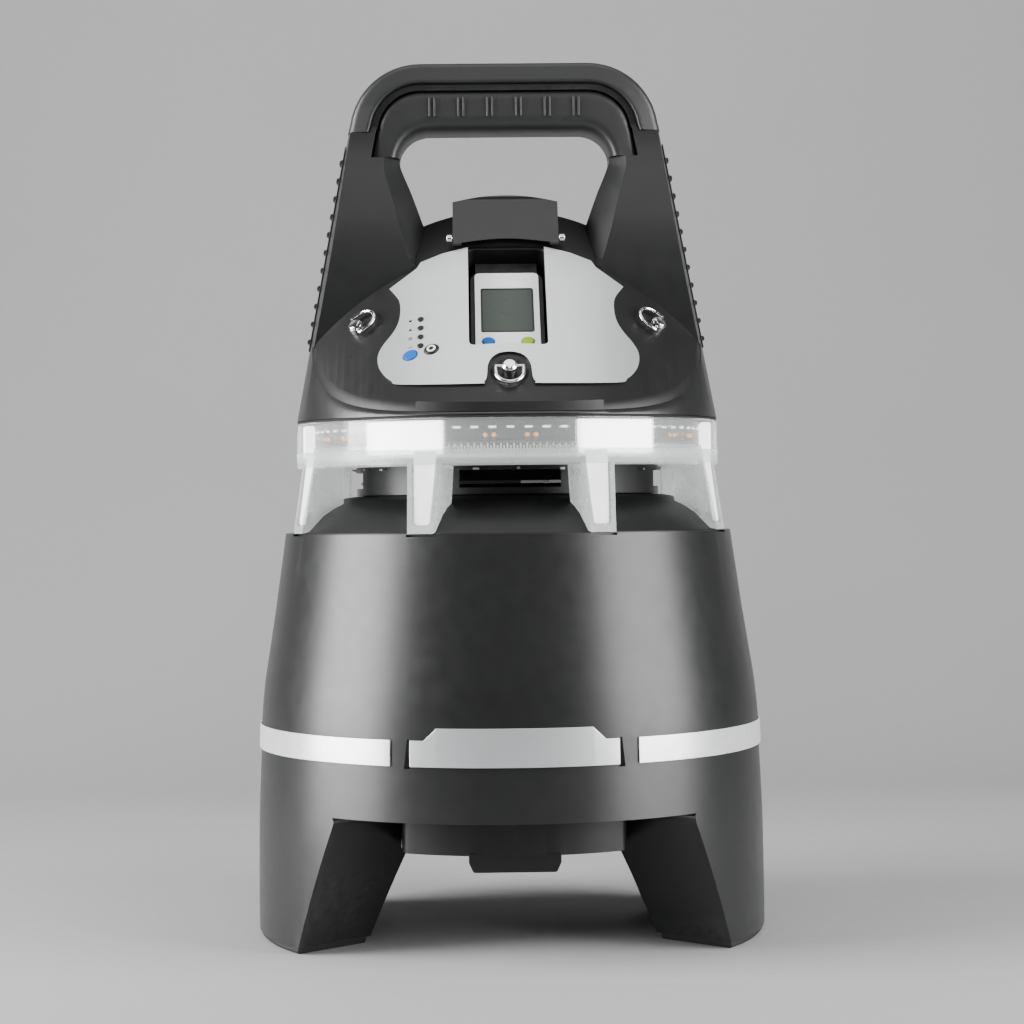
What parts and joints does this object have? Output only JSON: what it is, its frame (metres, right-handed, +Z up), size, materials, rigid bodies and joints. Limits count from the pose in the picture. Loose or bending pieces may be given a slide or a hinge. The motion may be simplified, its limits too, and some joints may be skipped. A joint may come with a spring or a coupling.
{
  "type": "area gas monitor",
  "caption": "Portable area gas alarm: battery base on two legs, clear all-round light ring, sloping control panel with docked detector, latch flap and carrying handle.",
  "frame": {"origin": "middle of the footprint, on the floor", "axes": "+Z up, front with the sloping control panel towards -Y, +X to the right of someone facing +Y"},
  "size_m": [0.3, 0.2985, 0.513],
  "materials": {
    "shell_plastic": "satin charcoal moulded plastic",
    "dark_plastic": "matte black moulded plastic",
    "rubber": "matte black rubber",
    "soft_grip": "fine-grained soft-touch grip",
    "silver_plate": "satin silver",
    "reflective_band": "retro-reflective film",
    "clear_lens": "clear polycarbonate",
    "diffuser": "translucent white light guide",
    "circuit_board": "circuit board with small parts",
    "chrome": "polished",
    "steel": "plain steel",
    "battery_case": "wrapped battery block",
    "white_plastic": "semi-gloss white",
    "dark_lens": "smoked clear window",
    "blue_key": "smooth blue",
    "green_key": "smooth green"
  },
  "bodies": {
    "housing": {"base_shell": "shell_plastic", "right_foot_pad": "rubber", "left_foot_pad": "rubber", "bottom_tray": "dark_plastic", "tray_screw_1": "steel", "tray_screw_2": "steel", "tray_screw_3": "steel", "tray_screw_4": "steel", "battery_pack": "battery_case", "deflector_dome": "dark_plastic", "front_plate": "silver_plate", "right_band": "reflective_band", "left_band": "reflective_band", "light_ring": "clear_lens", "ring_gasket": "rubber", "led_board": "circuit_board", "light_guide_1": "diffuser", "light_guide_2": "diffuser", "light_guide_3": "diffuser", "light_guide_4": "diffuser", "light_guide_5": "diffuser", "light_guide_6": "diffuser", "chassis_plate": "dark_plastic", "horn_housing": "dark_plastic", "horn_driver": "steel", "cable_duct": "dark_plastic", "main_board": "circuit_board", "top_housing": "shell_plastic", "bezel": "dark_plastic", "face_plate": "silver_plate", "status_led_1": "dark_lens", "status_led_2": "dark_lens", "status_led_3": "dark_lens", "status_led_4": "dark_lens", "cradle": "dark_plastic", "contact_block": "rubber", "latch_pin": "steel", "catch_pin_right": "chrome", "catch_pin_left": "chrome", "handle_frame": "shell_plastic", "handle_cap": "soft_grip", "handle_grip": "soft_grip", "right_rib_strip": "rubber", "left_rib_strip": "rubber", "socket_flange": "dark_plastic"},
    "front_stud": {"front_stud": "chrome"},
    "front_bail": {"front_bail": "chrome"},
    "right_stud": {"right_stud": "chrome"},
    "right_bail": {"right_bail": "chrome"},
    "left_stud": {"left_stud": "chrome"},
    "left_bail": {"left_bail": "chrome"},
    "power_key": {"power_key": "dark_plastic"},
    "info_key": {"info_key": "blue_key"},
    "detector": {"detector_body": "rubber", "detector_face": "white_plastic", "detector_window": "dark_lens"},
    "detector_key_left": {"detector_key_left": "blue_key"},
    "detector_key_right": {"detector_key_right": "green_key"},
    "latch_flap": {"latch_flap": "shell_plastic"},
    "socket_cover": {"socket_cover": "rubber"}
  },
  "joints": [
    {"name": "front_stud_turn", "type": "hinge", "parent": "housing", "child": "front_stud", "pos_m": [0, -0.1048, 0.3267], "axis": [0, -0.7071, 0.7071], "range_deg": [0, 90]},
    {"name": "front_bail_fold", "type": "hinge", "parent": "front_stud", "child": "front_bail", "pos_m": [0, -0.10688, 0.32879], "axis": [-1, 0, 0], "range_deg": [0, 90]},
    {"name": "right_stud_turn", "type": "hinge", "parent": "housing", "child": "right_stud", "pos_m": [0.0861, -0.04708, 0.3538], "axis": [0.4731, -0.623, 0.623], "range_deg": [0, 90]},
    {"name": "right_bail_fold", "type": "hinge", "parent": "right_stud", "child": "right_bail", "pos_m": [0.0875, -0.04891, 0.35564], "axis": [0.3583, 0.782, 0.5099], "range_deg": [0, 90]},
    {"name": "left_stud_turn", "type": "hinge", "parent": "housing", "child": "left_stud", "pos_m": [-0.0861, -0.04708, 0.3538], "axis": [-0.4731, -0.623, 0.623], "range_deg": [0, 90]},
    {"name": "left_bail_fold", "type": "hinge", "parent": "left_stud", "child": "left_bail", "pos_m": [-0.0875, -0.04891, 0.35564], "axis": [0.3583, -0.782, -0.5099], "range_deg": [0, 90]},
    {"name": "power_key_press", "type": "slide", "parent": "housing", "child": "power_key", "axis": [0.2368, 0.687, -0.687], "range_m": [0, 0.0009], "stiffness_N_per_m": 400},
    {"name": "info_key_press", "type": "slide", "parent": "housing", "child": "info_key", "axis": [0.3022, 0.674, -0.674], "range_m": [0, 0.0009], "stiffness_N_per_m": 400},
    {"name": "detector_lift", "type": "slide", "parent": "housing", "child": "detector", "axis": [0, -0.7071, 0.7071], "range_m": [0, 0.06]},
    {"name": "detector_key_left_press", "type": "slide", "parent": "detector", "child": "detector_key_left", "axis": [0, 0.7071, -0.7071], "range_m": [0, 0.0009], "stiffness_N_per_m": 300},
    {"name": "detector_key_right_press", "type": "slide", "parent": "detector", "child": "detector_key_right", "axis": [0, 0.7071, -0.7071], "range_m": [0, 0.0009], "stiffness_N_per_m": 300},
    {"name": "latch_flap_hinge", "type": "hinge", "parent": "housing", "child": "latch_flap", "pos_m": [0, 0.013, 0.4275], "axis": [-1, 0, 0], "range_deg": [0, 75]},
    {"name": "socket_cover_hinge", "type": "hinge", "parent": "housing", "child": "socket_cover", "pos_m": [0, 0.1465, 0.19], "axis": [1, 0, 0], "range_deg": [0, 110]}
  ]
}
